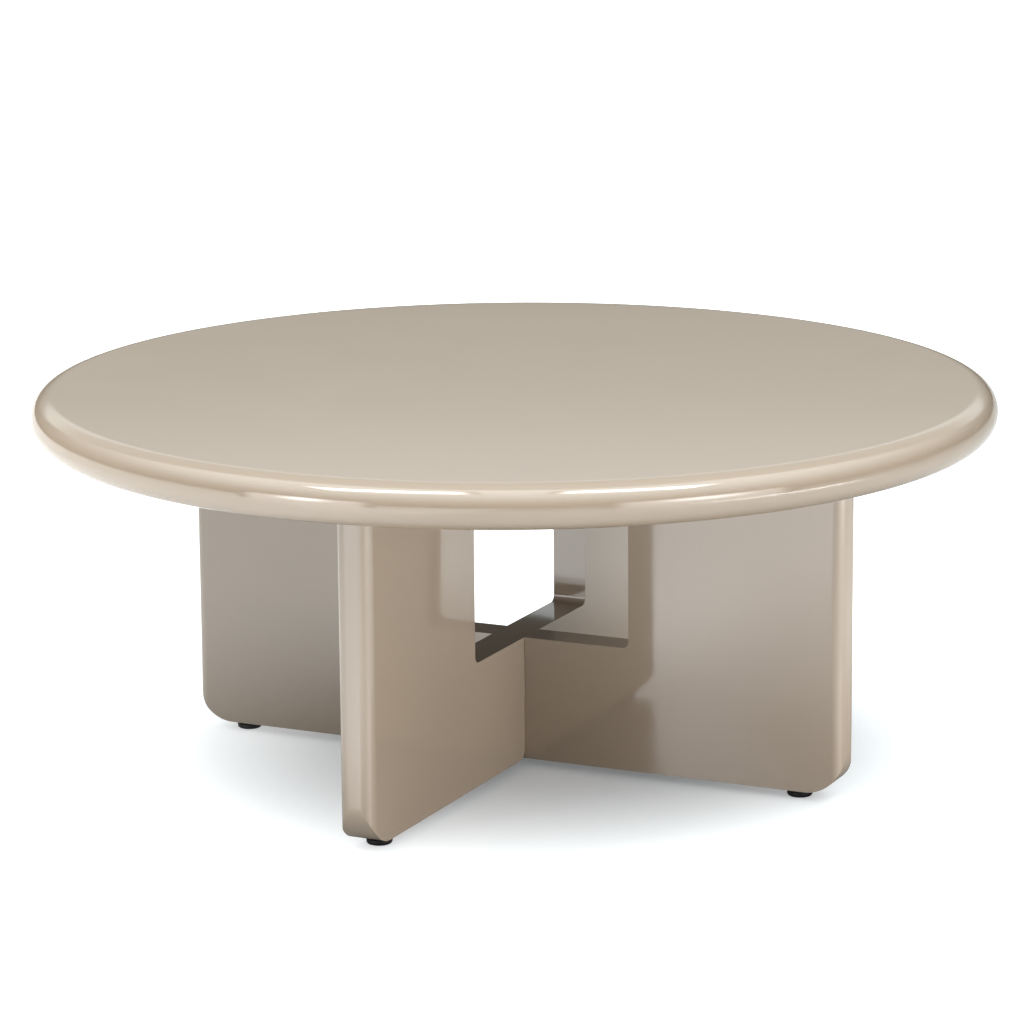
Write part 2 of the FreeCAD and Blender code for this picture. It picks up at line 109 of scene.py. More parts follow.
def easeEdges(piece, width, segments=3, angle=40):
    # rounds every edge that turns by more than the angle
    bevel = piece.modifiers.new("easedEdges", "BEVEL")
    bevel.width = width
    bevel.segments = segments
    bevel.limit_method = "ANGLE"
    bevel.angle_limit = math.radians(angle)
    bevel.harden_normals = True
    bevel.use_clamp_overlap = True


def arcPoints(centre, radius, start, end, steps):
    # centre + radius * (cos, sin) of an angle that runs from start to end, in degrees
    turn = np.radians(np.linspace(start, end, steps + 1))
    return np.stack([centre[0] + radius * np.cos(turn), centre[1] + radius * np.sin(turn)], -1)


def turned(points, angle):
    # x cos - y sin and x sin + y cos: a turn about the table's axis
    turn = math.radians(angle)
    spin = np.array([[math.cos(turn), math.sin(turn), 0], [-math.sin(turn), math.cos(turn), 0], [0, 0, 1]])
    return np.asarray(points, float).reshape(-1, 3) @ spin


def plainRows(profile, columns):
    # the same radius all the way round for each (radius, height) of the profile
    profile = np.asarray(profile, float)
    return np.broadcast_to(profile[:, :1], (len(profile), columns)), profile[:, 1]


def spun(radii, heights, reach=0.0, closed=False):
    # rows of radii, one column for each turn, about a vertical axis at reach along X; closed joins the last
    # row to the first
    radii = np.asarray(radii, float)
    heights = np.asarray(heights, float)
    if closed:
        radii, heights = np.vstack([radii, radii[:1]]), np.append(heights, heights[0])
    turn = np.linspace(0, 2 * np.pi, radii.shape[1], endpoint=False)
    height = np.broadcast_to(heights[:, None], radii.shape)
    points = np.stack([reach + radii * np.cos(turn), radii * np.sin(turn), height], -1)
    return points, gridFaces(*radii.shape, closed=True)


# material helpers
def feed(tree, node, values):
    # gives each input its value: another node's output is linked, anything else is set, colours opaque
    for key, value in values.items():
        socket = node.inputs[key]
        if isinstance(value, bpy.types.NodeSocket):
            tree.links.new(value, socket)
        else:
            socket.default_value = (*value, 1) if socket.type == "RGBA" else value


def newMaterial(name):
    # a material with its node tree and its shader
    material = bpy.data.materials.new(name)
    material.use_nodes = True
    tree = material.node_tree
    return material, tree, tree.nodes["Principled BSDF"]


def objectPlace(tree):
    # the point in the object's own coordinates, in metres
    return tree.nodes.new("ShaderNodeTexCoord").outputs["Object"]


def noiseNode(tree, scale, detail, stretch=(1, 1, 1)):
    # noise between 0 and 1, at coordinates multiplied by stretch
    mapping = tree.nodes.new("ShaderNodeMapping")
    feed(tree, mapping, {"Vector": objectPlace(tree), "Scale": stretch})
    noise = tree.nodes.new("ShaderNodeTexNoise")
    feed(tree, noise, {"Vector": mapping.outputs["Vector"], "Scale": scale, "Detail": detail})
    return noise.outputs["Fac"]


def mathNode(tree, operation, *values):
    # one number from numbers and other nodes' outputs
    node = tree.nodes.new("ShaderNodeMath")
    node.operation = operation
    feed(tree, node, dict(enumerate(values)))
    return node.outputs[0]


def measureNode(tree, operation, vector, other):
    # one number from two vectors: DOT_PRODUCT measures along an axis, DISTANCE from a point
    node = tree.nodes.new("ShaderNodeVectorMath")
    node.operation = operation
    feed(tree, node, {0: vector, 1: other})
    return node.outputs["Value"]


def mapValue(tree, source, low, high, fromLow=0.3, fromHigh=0.7, smooth=False):
    # low + (high - low) * (source - fromLow) / (fromHigh - fromLow), held at both ends, which smooth eases
    ranged = tree.nodes.new("ShaderNodeMapRange")
    ranged.interpolation_type = "SMOOTHSTEP" if smooth else "LINEAR"
    limits = {"From Min": fromLow, "From Max": fromHigh, "To Min": low, "To Max": high}
    feed(tree, ranged, {"Value": source, **limits})
    return ranged.outputs["Result"]


def rampNode(tree, source, levels):
    # a smooth curve from nought at nought, through the levels, to one at one
    ramp = tree.nodes.new("ShaderNodeFloatCurve")
    points = ramp.mapping.curves[0].points
    for place, level in levels.items():
        points.new(place, level)
    ramp.mapping.update()
    feed(tree, ramp, {"Value": source})
    return ramp.outputs["Value"]


def mixColours(tree, share, first, second):
    # first + (second - first) * share
    mix = tree.nodes.new("ShaderNodeMix")
    mix.data_type = "RGBA"
    feed(tree, mix, {"Factor": share, "A": first, "B": second})
    return mix.outputs["Result"]


def bumpNormal(tree, source, height):
    # the normal of a surface raised by source * height
    bump = tree.nodes.new("ShaderNodeBump")
    feed(tree, bump, {"Height": source, "Distance": height, "Strength": 1.0})
    return bump.outputs["Normal"]


# gloss lacquer on the top and the panels, and a dark, dull colour on the flat underside of the top: painted
# shade, so that less light bounces onto the notch floors below
lacquerLook = {
    "colour": (0.386, 0.305, 0.229),
    "cloud": 0.02,  # share by which the sprayed colour drifts
    "cloudScale": 4.0,
    "cloudDetail": 3.0,
    "roughness": (0.05, 0.08),
    "hazeScale": 9.0,
    "hazeDetail": 4.0,
    "peelScale": 170.0,  # orange peel of a sprayed gloss coat, about 6 mm across
    "peelDetail": 1.5,
    "peelHeight": 0.000012,
    "index": 1.6,
    "shine": 1.0,
}
# dark, dull underside of the top: painted shade, so that less light bounces onto the notch floors
darkUndersideLook = {"colour": (0.045, 0.036, 0.029), "roughness": 0.35, "margin": 0.012, "tolerance": 0.0001}


def lacquerMaterial(name, flatRadius=None):
    # colour drifts with the cloud and roughness with the haze; with a flatRadius, the points of the top's
    # underside within that radius, less the margin, are made dark and dull instead: painted shade for the
    # notch floors
    look = lacquerLook
    material, tree, shader = newMaterial(name)
    cloud = noiseNode(tree, look["cloudScale"], look["cloudDetail"])
    deep, pale = (np.array(look["colour"]) * (1 + side * look["cloud"]) for side in (-1, 1))
    colour = mixColours(tree, cloud, deep, pale)
    haze = noiseNode(tree, look["hazeScale"], look["hazeDetail"])
    roughness = mapValue(tree, haze, *look["roughness"])
    # the flat underside is made dark and dull: painted shade for the notch floors below
    if flatRadius:
        place = objectPlace(tree)
        reach = measureNode(tree, "DISTANCE", place, (0, 0, topUnderside))
        rise = measureNode(tree, "DOT_PRODUCT", place, (0, 0, 1))
        within = mathNode(tree, "LESS_THAN", reach, flatRadius - darkUndersideLook["margin"])
        below = mathNode(tree, "LESS_THAN", rise, topUnderside + darkUndersideLook["tolerance"])
        darkUnder = mathNode(tree, "MULTIPLY", within, below)
        colour = mixColours(tree, darkUnder, colour, darkUndersideLook["colour"])
        dull = mathNode(tree, "MULTIPLY", darkUnder, darkUndersideLook["roughness"])
        roughness = mathNode(tree, "MAXIMUM", roughness, dull)
    peel = noiseNode(tree, look["peelScale"], look["peelDetail"])
    coat = {
        "Base Color": colour,
        "Roughness": roughness,
        "Normal": bumpNormal(tree, peel, look["peelHeight"]),
        "IOR": look["index"],
        "Specular IOR Level": look["shine"],
    }
    feed(tree, shader, coat)
    return material


zincLook = {
    "colours": ((0.50, 0.50, 0.48), (0.66, 0.66, 0.63)),
    "roughness": (0.24, 0.42),
    "spangleScale": 900.0,
    "spangleDetail": 3.0,
    "brushScale": 1500.0,
    "brushDetail": 2.0,
    "brushStretch": (1, 1, 0.15),
    "brushHeight": 0.00002,
}


def zincMaterial():
    # spangle sets colour and roughness, upright brush marks raise the surface
    look = zincLook
    material, tree, shader = newMaterial("zincPlatedSteel")
    spangle = noiseNode(tree, look["spangleScale"], look["spangleDetail"])
    brushed = noiseNode(tree, look["brushScale"], look["brushDetail"], look["brushStretch"])
    plating = {
        "Base Color": mixColours(tree, spangle, *look["colours"]),
        "Roughness": mapValue(tree, spangle, *look["roughness"]),
        "Normal": bumpNormal(tree, brushed, look["brushHeight"]),
        "Metallic": 1.0,
    }
    feed(tree, shader, plating)
    return material


beechLook = {
    "colours": ((0.46, 0.28, 0.14), (0.62, 0.42, 0.24)),
    "roughness": (0.5, 0.7),
    "scale": 600.0,
    "detail": 4.0,
    "stretch": (1, 1, 0.06),
    "height": 0.00005,
}
nylonLook = {
    "colours": ((0.010, 0.010, 0.011), (0.016, 0.016, 0.017)),
    "roughness": (0.38, 0.52),
    "scale": 2200.0,
    "detail": 3.0,
    "stretch": (1, 1, 1),
    "height": 0.00003,
}


def grainedMaterial(name, look):
    # one grain sets colour, roughness and relief
    material, tree, shader = newMaterial(name)
    grain = noiseNode(tree, look["scale"], look["detail"], look["stretch"])
    surface = {
        "Base Color": mixColours(tree, grain, *look["colours"]),
        "Roughness": mapValue(tree, grain, *look["roughness"]),
        "Normal": bumpNormal(tree, grain, look["height"]),
    }
    feed(tree, shader, surface)
    return material


finishes = {
    "greige_lacquer": lacquerMaterial("greigeLacquer"),
    "zinc_plated_steel": zincMaterial(),
    "beech": grainedMaterial("beech", beechLook),
    "black_nylon": grainedMaterial("blackNylon", nylonLook),
}
for part in frame["record"]["subparts"]:
    nodeMesh = frame["nodes"][part["node"]].data
    nodeMesh.materials.clear()
    nodeMesh.materials.append(finishes[part["material_slot"]])
print("finishes made:", ", ".join(finishes))

# tabletop: a flat disc whose edge is a full half-round
topShape = {"segments": 320, "noseSteps": 48, "flatMargin": 0.003}
topNose = (topHigh.z - topLow.z) / 2
topFlat = topHigh.x - topNose


def tabletopPatches():
    # profile: flat, then radius = flat + nose * cos(turn), height = middle + nose * sin(turn), then flat
    count = topShape["segments"]
    nose = arcPoints((topFlat, topLow.z + topNose), topNose, 90, -90, topShape["noseSteps"])
    inner = topFlat - topShape["flatMargin"]
    profile = np.vstack([[inner, topHigh.z], nose, [inner, topLow.z]])
    points, faces = spun(*plainRows(profile, count))
    lastRow = (len(profile) - 1) * count
    faces += [list(range(count)), list(range(lastRow, lastRow + count))]
    return [(points, faces)]


topLacquer = lacquerMaterial("greigeLacquerTop", topFlat)
tabletop = makePiece("roundTop", tabletopPatches(), "table", topLacquer)
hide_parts("tabletop")
print("tabletop made")

# base panels: a notched and slotted slab on edge, ends rounded straight down into the foot corners
panelShape = {
    "endRound": 0.014,
    "footRound": 0.044,
    "notchHalf": 0.1465,
    "notchRound": 0.008,
    "crossing": 0.140,
    "slotGap": 0.0006,
    "mouthRound": 0.012,
    "flangeBore": 0.00905,
    "boreDepth": 0.016,
    "arris": 0.0009,
    "roundSteps": 14,
    "footSteps": 22,
    "notchSteps": 8,
    "mouthSteps": 10,
}
swapEnds = np.array([-1, 1])


def panelEnd(half, face, bottom, top):
    # in plan, reach = half - round + sqrt(round^2 - (|across| - (face - round))^2); the foot corner is an arc
    # of its own radius, which climbs to the crease where it meets the end's rounding
    look = panelShape
    endRound, footRound = look["endRound"], look["footRound"]
    sweep = np.radians(np.linspace(90, 0, look["roundSteps"] + 1))
    flank = face - endRound + endRound * np.sin(sweep)
    across = np.concatenate([-flank, flank[::-1]])
    reach = half - endRound + endRound * np.concatenate([np.cos(sweep), np.cos(sweep[::-1])])
    crease = np.arcsin(np.clip((reach - (half - footRound)) / footRound, 0, 1))
    climb = np.linspace(0, 1, look["footSteps"] + 1)[:, None] * crease
    along = half - footRound + footRound * np.sin(climb)
    corner = np.stack([along, across + 0 * climb, bottom + footRound * (1 - np.cos(climb))], -1)
    end = np.stack([corner[-1], np.stack([reach, across, np.full_like(across, top)], -1)])
    return corner, end


def panelOutlines(face, bottom, top, slotFromTop):
    # in (along, height): the upper edge from notch end to notch end, and the slot from below where it has one
    look = panelShape
    notch, rim, mouth = look["notchHalf"], look["notchRound"], look["mouthRound"]
    floor, lap = bottom + look["crossing"], bottom + look["crossing"] / 2
    slot = face + look["slotGap"]
    notchArc = arcPoints((notch - rim, floor + rim), rim, 0, -90, look["notchSteps"])
    upper = [[notch, top], *notchArc]
    under = None
    if slotFromTop:
        upper += [[slot, floor], [slot, lap]]
    else:
        mouthArc = arcPoints((slot + mouth, bottom + mouth), mouth, 270, 180, look["mouthSteps"])
        under = np.array([*mouthArc, [slot, lap]])
        under = np.vstack([under, under[::-1] * swapEnds])
    upper = np.array(upper)
    return np.vstack([upper, upper[::-1] * swapEnds]), under


def panelUnderside(inner, near, far, across, face, bottom):
    # a flat run from inner to near, then rays from the rectangle between near and far to the insert's bore
    bore = panelShape["flangeBore"]
    plan = [[inner, -face], [near, -face], [near, face], [inner, face]]
    run = np.insert(plan, 2, bottom, axis=1)
    farSide = np.stack([np.full_like(across, far), across], -1)
    outer = np.vstack([farSide, [[near, face], [near, -face]]])
    bearing = np.arctan2(outer[:, 1], outer[:, 0] - footReach)
    rim = np.stack([footReach + bore * np.cos(bearing), bore * np.sin(bearing)], -1)
    levels = ((outer, bottom), (rim, bottom), (rim, bottom + panelShape["boreDepth"]))
    rings = np.stack([np.insert(ring, 2, level, axis=1) for ring, level in levels])
    count = len(outer)
    boreEnd = list(range(2 * count, 3 * count))
    return [(run, [[0, 1, 2, 3]]), (rings, gridFaces(3, count, closed=True) + [boreEnd])]


def panelPatches(node, slotFromTop, angle):
    # drawn along X, across Y and up Z, one half mirrored to the other; then turned about the table's axis
    low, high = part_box(node)
    half, face = max(high.x, high.y), min(high.x, high.y)
    bottom, top = low.z, high.z
    notch = panelShape["notchHalf"]
    far = half - panelShape["footRound"]
    near = 2 * footReach - far
    corner, end = panelEnd(half, face, bottom, top)
    upper, under = panelOutlines(face, bottom, top, slotFromTop)
    legTop = np.vstack([end[1], [[notch, face, top], [notch, -face, top]]])
    oneHalf = [(grid, gridFaces(*grid.shape[:2])) for grid in (corner, end)]
    oneHalf.append((legTop, [list(range(len(legTop)))]))
    inner = 0.0 if slotFromTop else under[0, 0]
    oneHalf += panelUnderside(inner, near, far, end[1][:, 1], face, bottom)
    patches = [(points * np.array([side, 1, 1]), faces) for side in (1, -1) for points, faces in oneHalf]

    # walls of the notch and the slots
    for outline in [upper] if slotFromTop else [upper, under]:
        band = np.stack([np.insert(outline, 1, side * face, axis=1) for side in (-1, 1)])
        patches.append((band, gridFaces(2, len(outline))))

    # the two flat faces, each one outline
    endEdge = np.vstack([corner[:, -1][:, [0, 2]], [half - panelShape["endRound"], top]])
    seat = np.array([near, bottom])
    middle = [[0, bottom]] if slotFromTop else under[::-1]
    outline = np.vstack([endEdge[::-1] * swapEnds, seat * swapEnds, middle, seat, endEdge, upper])
    for side in (-1, 1):
        patches.append((np.insert(outline, 1, side * face, axis=1), [list(range(len(outline)))]))
    return [(turned(points, angle), faces) for points, faces in patches]


for node, slotFromTop, angle, name in (
    ("left_right_panel", True, 0, "leftRightPanel"),
    ("front_back_panel", False, 90, "frontBackPanel"),
):
    patches = panelPatches(node, slotFromTop, angle)
    panel = makePiece(name, patches, "table", finishes["greige_lacquer"])
    easeEdges(panel, panelShape["arris"])
    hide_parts(node)
print("panels made")


# hardware: turned, threaded and bent pieces, drawn for the leg at +X and turned to the others
def atLegs(patches, *legs):
    # a copy of the patches for each leg
    return [(turned(points, legAngles[leg]), faces) for leg in legs for points, faces in patches]


def rounded(corners, steps=5):
    # corners (radius, height, rounding): a rounding above nought swaps the corner for an arc that touches
    # both of its sides
    corners = np.asarray(corners, float)
    path = []
    for before, here, after in zip(np.roll(corners, 1, 0), corners, np.roll(corners, -1, 0)):
        corner, rounding = here[:2], here[2]
        if rounding == 0:
            path.append(corner)
            continue
        first, second = before[:2] - corner, after[:2] - corner
        first, second = first / np.linalg.norm(first), second / np.linalg.norm(second)
        half = math.acos(np.clip(first @ second, -1, 1)) / 2
        centre = corner + (first + second) / np.linalg.norm(first + second) * rounding / math.sin(half)
        start, end = (corner + side * rounding / math.tan(half) - centre for side in (first, second))
        share = np.linspace(0, 1, steps)[:, None]
        bow = math.pi - 2 * half
        path.extend(centre + (np.sin((1 - share) * bow) * start + np.sin(share * bow) * end) / math.sin(bow))
    return np.array(path)


threadForm = {"stretch": 1.3, "lower": 0.15}  # leaves crest and root flat


def threadRows(look, low, high, columns):
    # radius = root + (crest - root) * tooth, a triangle over the phase, stretched, lowered and clipped;
    # phase = height / pitch - turn / full turn; both ends fade
    heights = np.linspace(low, high, int((high - low) / look["pitch"] * look["stepsPerPitch"]))
    turn = np.arange(columns) / columns
    phase = np.mod(heights[:, None] / look["pitch"] - turn, 1)
    tooth = threadForm["stretch"] * (1 - np.abs(2 * phase - 1)) - threadForm["lower"]
    fade = np.clip(np.minimum(heights - low, high - heights) / look["pitch"], 0, 1)[:, None]
    return look["root"] + (look["crest"] - look["root"]) * np.clip(tooth, 0, 1) * fade, heights


hexForm = {"roundShare": 0.48, "chamferAngle": 30, "chamferSteps": 6}  # round face as a share of the flats


def hexRows(flats, low, high, columns, chamferHigh=True):
    # radius = the smaller of the hexagon, half flats / cos(turn from the middle of the flat), and the cone
    # that opens from each chamfered end
    turn = np.linspace(0, 2 * np.pi, columns, endpoint=False)
    hexagon = flats / 2 / np.cos(np.mod(turn, np.pi / 3) - np.pi / 6)
    start = hexForm["roundShare"] * flats
    slope = math.tan(math.radians(hexForm["chamferAngle"]))
    steps = np.linspace(0, (hexagon.max() - start) * slope, hexForm["chamferSteps"])
    heights = np.concatenate([low + steps, high - steps[::-1] if chamferHigh else [high]])
    room = np.minimum(heights - low, high - heights) if chamferHigh else heights - low
    return np.minimum(hexagon, start + room[:, None] / slope), heights


def stackRows(*parts):
    # rows of several stretches, one above the other
    return np.vstack([radii for radii, _ in parts]), np.concatenate([heights for _, heights in parts])


def makeHardware(name, patches, node, body="table", slot="zinc_plated_steel"):
    # a piece that takes the place of its node
    piece = makePiece(name, patches, body, finishes[slot], sharpAngle=40)
    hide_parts(node)
    return piece


# levelling pad: a moulded foot whose socket holds the flange of the stem
padShape = {
    "radius": 0.014, "height": 0.006, "footRound": 0.003, "rimRound": 0.001, "roundSteps": 7, "neck": 0.0041,
    "socket": 0.0081, "socketLow": 0.0016, "socketHigh": 0.0038, "solePocket": (0.0065, 0.0090),
    "pocketDepth": 0.0004, "columns": 72,
}


def padPatches():
    # the profile runs out along the sole, up the side, in over the top and down into the socket
    look = padShape
    inner, outer = look["solePocket"]
    deep = look["pocketDepth"]
    profile = [
        (0, 0, 0),
        (inner, 0, 0),
        (inner + deep, deep, 0),
        (outer - deep, deep, 0),
        (outer, 0, 0),
        (look["radius"], 0, look["footRound"]),
        (look["radius"], look["height"], look["rimRound"]),
        (look["neck"], look["height"], deep / 2),
        (look["neck"], look["socketHigh"], 0),
        (look["socket"], look["socketHigh"], 0),
        (look["socket"], look["socketLow"], 0),
        (0, look["socketLow"], 0),
    ]
    return [spun(*plainRows(rounded(profile, look["roundSteps"]), look["columns"]), footReach)]


# leveller stem: flange in the pad, hexagonal collar for a spanner, M8 thread up into the insert
stemShape = {
    "flange": 0.008, "flangeLow": 0.0017, "flangeHigh": 0.0037, "ease": 0.0003, "neck": 0.0040,
    "flats": 0.013, "collarLow": 0.0063, "collarHigh": 0.0092, "length": 0.030, "tipChamfer": 0.001,
    "crest": 0.0040, "root": 0.00335, "pitch": 0.00125, "stepsPerPitch": 10, "columns": 48,
}


def stemPatches():
    # from the flange up; its length is what stands inside the panel
    look = stemShape
    columns, ease = look["columns"], look["ease"]
    flange = [
        (0, look["flangeLow"], 0),
        (look["flange"], look["flangeLow"], ease),
        (look["flange"], look["flangeHigh"], ease),
        (look["neck"], look["flangeHigh"], 0),
        (look["neck"], look["collarLow"], 0),
    ]
    end = panelBottom + look["length"]
    threadEnd = end - look["tipChamfer"]
    tip = [(look["root"], threadEnd), (look["root"] - look["tipChamfer"] / 2, end), (0, end)]
    rows = stackRows(
        plainRows(rounded(flange), columns),
        hexRows(look["flats"], look["collarLow"], look["collarHigh"], columns),
        threadRows(look, look["collarHigh"], threadEnd, columns),
        plainRows(tip, columns),
    )
    return [spun(*rows, footReach)]


# leveller insert: flanged sleeve with barbs that hold it in the panel's bottom edge
legInsertShape = {
    "bore": 0.00405, "flange": 0.009, "flangeThickness": 0.0015, "length": 0.016, "ease": 0.0003,
    "crest": 0.006, "root": 0.0055, "barbs": 6, "columns": 56,
}


def legInsertPatches():
    # the profile goes round the sleeve's wall; each barb rises at once and falls back to the root
    look = legInsertShape
    ease, root = look["ease"], look["root"]
    low, high = panelBottom, panelBottom + look["length"]
    flangeHigh = low + look["flangeThickness"]
    barbs = []
    levels = np.linspace(flangeHigh + 2 * ease, high - 2 * ease, look["barbs"] + 1)
    for start, end in zip(levels[:-1], levels[1:]):
        barbs += [(root, start, 0), (look["crest"], start + ease, 0), (root, end - ease, 0)]
    profile = [
        (look["bore"], low, ease),
        (look["flange"], low, ease),
        (look["flange"], flangeHigh, ease),
        (root, flangeHigh, 0),
        *barbs,
        (root, high, ease),
        (look["bore"], high, ease),
    ]
    return [spun(*plainRows(rounded(profile), look["columns"]), footReach, closed=True)]


# angle bracket: a bent strip with round corners, one bolt hole and two screw holes
bracketShape = {
    "leg": 0.050, "gauge": 0.003, "half": 0.015, "bend": 0.003, "corner": 0.005, "boltHole": 0.0035,
    "boltPlace": 0.028, "screwHole": 0.0025, "screwPlaces": (0.022, 0.040), "bendSteps": 8, "acrossSteps": 10,
    "cornerSteps": 5, "ease": 0.0003,
}


def onStrip(path, across, side):
    # the strip's path runs from its tip under the top, round the bend and down to its foot; side is 0 inside
    # the bend and 1 outside it
    look = bracketShape
    outerBend = look["bend"] + look["gauge"]
    flat = look["leg"] - outerBend
    arc = outerBend * math.pi / 2
    radius = look["bend"] + look["gauge"] * side
    turn = np.clip((path - flat) / arc, 0, 1) * math.pi / 2
    x = panelShape["notchHalf"] - outerBend - np.clip(flat - path, 0, None) + radius * np.sin(turn)
    z = topUnderside - outerBend - np.clip(path - flat - arc, 0, None) + radius * np.cos(turn)
    return np.stack(np.broadcast_arrays(x, across, z), -1)


def bracketPatches():
    # three cells, each from its outline to a hole on the same rays, and the bend between the first and second
    look = bracketShape
    corner, half, steps = look["corner"], look["half"], look["cornerSteps"]
    flat = look["leg"] - look["bend"] - look["gauge"]
    bendEnd = flat + (look["bend"] + look["gauge"]) * math.pi / 2
    total = flat + bendEnd
    across = np.linspace(-half, half, look["acrossSteps"] + 1)
    upperScrew, lowerScrew = (total - look["leg"] + place for place in look["screwPlaces"])
    between = (upperScrew + lowerScrew) / 2
    tip = np.vstack(
        [
            arcPoints((corner, half - corner), corner, 90, 180, steps),
            arcPoints((corner, corner - half), corner, 180, 270, steps),
        ]
    )
    foot = np.stack([total - tip[:, 0], tip[:, 1]], -1)
    bendLine = np.stack([np.full_like(across, bendEnd), across[::-1]], -1)
    cells = [
        (flat, tip, look["leg"] - look["boltPlace"], look["boltHole"]),
        (between, bendLine, upperScrew, look["screwHole"]),
        (between, foot, lowerScrew, look["screwHole"]),
    ]
    patches = []
    joined = len(across) - 1
    for edge, farLine, hole, radius in cells:
        outline = np.vstack([np.stack([np.full_like(across, edge), across], -1), farLine])
        bearing = np.arctan2(outline[:, 1], outline[:, 0] - hole)
        rim = np.stack([hole + radius * np.cos(bearing), radius * np.sin(bearing)], -1)
        rings = [onStrip(*ring.T, side) for ring, side in ((outline, 0), (rim, 0), (rim, 1), (outline, 1))]
        patches.append((np.stack(rings), gridFaces(4, len(outline), closed=True)))
        # outer wall wherever the outline isn't shared with the next cell or the bend
        walls = gridFaces(2, len(outline), closed=True)[joined:]
        if farLine is bendLine:
            walls = walls[:1] + walls[joined + 1 :]
        patches.append((np.stack([rings[0], rings[3]]), walls))
    bend = np.linspace(flat, bendEnd, look["bendSteps"] + 1)
    for side in (0, 1):
        patches.append((onStrip(bend[:, None], across, side), gridFaces(len(bend), len(across))))
    for edge in (-half, half):
        wall = np.stack([onStrip(bend, edge, side) for side in (0, 1)])
        patches.append((wall, gridFaces(2, len(bend))))
    return patches


# bracket screws: round head with a cross recess, tapering point
screwShape = {
    "head": 0.0045, "headHeight": 0.003, "dome": 0.0021, "domeSteps": 7, "recess": 0.0017, "recessRings": 14,
    "armHalf": 0.00055, "armWallShare": 1 / 3, "armReach": 0.0023, "armFlareShare": 1 / 2, "crest": 0.0017,
    "root": 0.00120, "pitch": 0.0016, "stepsPerPitch": 6, "length": 0.030, "point": 0.005, "columns": 48,
}


def crossArm(along, beside):
    # depth share of one arm: full within its half width, with sloped walls, and rising over its outer stretch
    look = screwShape
    width = np.clip((1 - beside / look["armHalf"]) / look["armWallShare"] + 0.5, 0, 1)
    return width * np.clip((1 - along / look["armReach"]) / look["armFlareShare"], 0, 1)


def screwPatches():
    # along X from the seat on the bracket; head sunk by recess * the deeper of two crossed arms, shank radius
    # as the thread, scaled to nought along the point
    look = screwShape
    columns = look["columns"]
    turn = np.linspace(0, 2 * np.pi, columns, endpoint=False)
    flat = look["head"] - look["dome"]
    rings = np.linspace(0, flat, look["recessRings"])[:, None] + np.zeros(columns)
    first, second = np.abs(rings * np.cos(turn)), np.abs(rings * np.sin(turn))
    depth = np.maximum(crossArm(first, second), crossArm(second, first)) * look["recess"]
    bow = np.linspace(0, math.pi / 2, look["domeSteps"] + 1)[1:, None] + np.zeros(columns)
    shank, heights = threadRows(look, 0.0, look["length"], columns)
    shank = shank * np.clip((look["length"] - heights) / look["point"], 0, 1)[:, None]
    radii = np.vstack([rings, flat + look["dome"] * np.sin(bow), np.full((1, columns), look["head"]), shank])
    along = np.vstack(
        [
            depth - look["headHeight"],
            look["dome"] * (1 - np.cos(bow)) - look["headHeight"],
            np.zeros((1, columns)),
            heights[:, None] + np.zeros(columns),
        ]
    )
    seat = panelShape["notchHalf"] - bracketShape["gauge"]
    faces = gridFaces(*radii.shape, closed=True)
    patches = []
    for place in bracketShape["screwPlaces"]:
        height = topUnderside - place + radii * np.sin(turn)
        patches.append((np.stack([seat + along, radii * np.cos(turn), height], -1), faces))
    return patches


# washers: flat rings under the bracket, edges eased by the punch
washerShape = {"bore": 0.00305, "radius": 0.006, "thickness": 0.0016, "ease": 0.0003, "columns": 56}
boltReach = panelShape["notchHalf"] - bracketShape["boltPlace"]
washerHigh = topUnderside - bracketShape["gauge"]
washerLow = washerHigh - washerShape["thickness"]


def washerPatches():
    # a rectangle with rounded corners, the lower outer one roundest, carried round the bolt's axis
    look = washerShape
    ease = look["ease"]
    profile = [
        (look["bore"], washerLow, ease / 2),
        (look["radius"], washerLow, ease),
        (look["radius"], washerHigh, ease / 3),
        (look["bore"], washerHigh, ease / 3),
    ]
    return [spun(*plainRows(rounded(profile), look["columns"]), boltReach, closed=True)]


# bracket bolts: hexagon head below, M6 thread up through washer and bracket into the insert
boltShape = {
    "flats": 0.010, "headHeight": 0.004, "length": 0.0158, "chamfer": 0.0006, "crest": 0.0030,
    "root": 0.00245, "pitch": 0.001, "stepsPerPitch": 8, "columns": 48,
}


def boltPatches():
    # head, thread and chamfered tip, from the head's lower face up
    look = boltShape
    columns, root, chamfer = look["columns"], look["root"], look["chamfer"]
    low, end = washerLow - look["headHeight"], washerLow + look["length"]
    rows = stackRows(
        plainRows([(0, low)], columns),
        hexRows(look["flats"], low, washerLow, columns, chamferHigh=False),
        threadRows(look, washerLow, end - chamfer, columns),
        plainRows([(root, end - chamfer), (root - chamfer, end), (0, end)], columns),
    )
    return [spun(*rows, boltReach)]


# top inserts: sleeves with a coarse outer thread for the board
topInsertShape = {
    "bore": 0.00305, "length": 0.014, "ease": 0.0003, "crest": 0.0050, "root": 0.0043, "pitch": 0.0025,
    "stepsPerPitch": 12, "columns": 56,
}


def topInsertPatches():
    # the thread outside, then back down the eased bore
    look = topInsertShape
    columns, ease, bore = look["columns"], look["ease"], look["bore"]
    low, high = topUnderside, topUnderside + look["length"]
    inside = [(bore + ease, high), (bore, high - ease), (bore, low + ease), (bore + ease, low)]
    rows = stackRows(threadRows(look, low, high, columns), plainRows(inside, columns))
    return [spun(*rows, boltReach, closed=True)]


# dowels: beech pins with straight flutes for the glue
dowelShape = {
    "inset": 0.090, "length": 0.040, "radius": 0.005, "chamfer": 0.001, "flutes": 24, "fluteDepth": 0.00030,
    "stepsPerFlute": 6,
}


